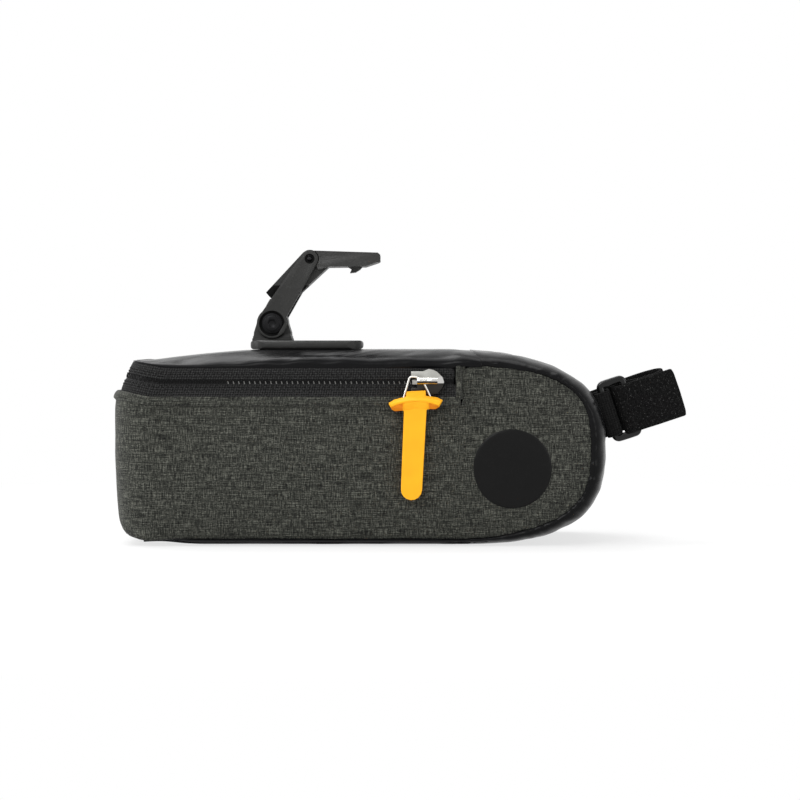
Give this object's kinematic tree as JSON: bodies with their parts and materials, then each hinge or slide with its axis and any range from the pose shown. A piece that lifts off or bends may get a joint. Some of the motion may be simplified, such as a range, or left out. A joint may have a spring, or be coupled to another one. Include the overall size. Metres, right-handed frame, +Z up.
{
  "type": "saddle bag",
  "caption": "Under-saddle bicycle bag with a zipped lid, a lever clamp on top for the saddle and a hook-and-loop strap for the seatpost.",
  "frame": {"origin": "on the floor under the middle of the bag's body", "axes": "+X from the rear of the bag to its nose, +Y across it to the far side, +Z up"},
  "size_m": [0.2391, 0.0856, 0.1231],
  "materials": {
    "melange_fabric": "grey melange woven polyester",
    "coated_fabric": "black coated fabric, semi gloss",
    "zip_tape": "black woven tape",
    "zip_coil": "black polyester coil",
    "slider_metal": "polished nickel",
    "pull_rubber": "matte yellow rubber",
    "clip_nylon": "dark grey moulded nylon",
    "black_steel": "black oxide",
    "screw_steel": "plated",
    "strap_webbing": "black hook-and-loop webbing",
    "ring_plastic": "glossy black",
    "disc_rubber": "satin black",
    "board_plastic": "black sheet"
  },
  "bodies": {
    "tub": {"side_panel": "melange_fabric", "gusset": "coated_fabric", "bottom_board": "board_plastic", "side_binding": "melange_fabric", "zip_tape_lower": "zip_tape", "zip_coil_lower": "zip_coil", "zip_end_tabs": "melange_fabric", "disc_patch": "disc_rubber", "strap_anchor": "strap_webbing"},
    "lid": {"lid_panel": "coated_fabric", "lid_board": "board_plastic", "zip_tape_upper": "zip_tape", "zip_coil_upper": "zip_coil", "clip_base": "clip_nylon", "clip_screws": "screw_steel"},
    "arm": {"clip_arm": "clip_nylon", "hinge_screw": "black_steel", "hinge_washer": "black_steel", "hinge_nut": "screw_steel", "lever_pin": "screw_steel"},
    "lever": {"clip_lever": "clip_nylon"},
    "slider": {"slider_body": "slider_metal"},
    "pull": {"pull_wire": "slider_metal", "pull_tab": "pull_rubber"},
    "strap": {"strap_ring": "ring_plastic", "ring_tab": "strap_webbing", "seatpost_strap": "strap_webbing"}
  },
  "joints": [
    {"name": "lid_hinge", "type": "hinge", "parent": "tub", "child": "lid", "pos_m": [0.04185, 0, 0.0811], "axis": [0, 1, 0], "range_deg": [0, 70]},
    {"name": "arm_hinge", "type": "hinge", "parent": "lid", "child": "arm", "pos_m": [-0.0377, 0, 0.0919], "axis": [0, 1, 0], "range_deg": [-60, 28]},
    {"name": "lever_hinge", "type": "hinge", "parent": "arm", "child": "lever", "pos_m": [-0.02176, 0, 0.11918], "axis": [0, 1, 0], "range_deg": [-80, 0]},
    {"name": "slider_slide", "type": "slide", "parent": "tub", "child": "slider", "axis": [-1, 0, 0], "range_m": [0, 0.088]},
    {"name": "pull_swing", "type": "hinge", "parent": "slider", "child": "pull", "pos_m": [0.0237, -0.0424, 0.0681], "axis": [-1, 0, 0], "range_deg": [0, 150]},
    {"name": "strap_swing", "type": "hinge", "parent": "tub", "child": "strap", "pos_m": [0.10227, 0, 0.05395], "axis": [-0.309, 0, 0.9511], "range_deg": [-25, 25]}
  ]
}
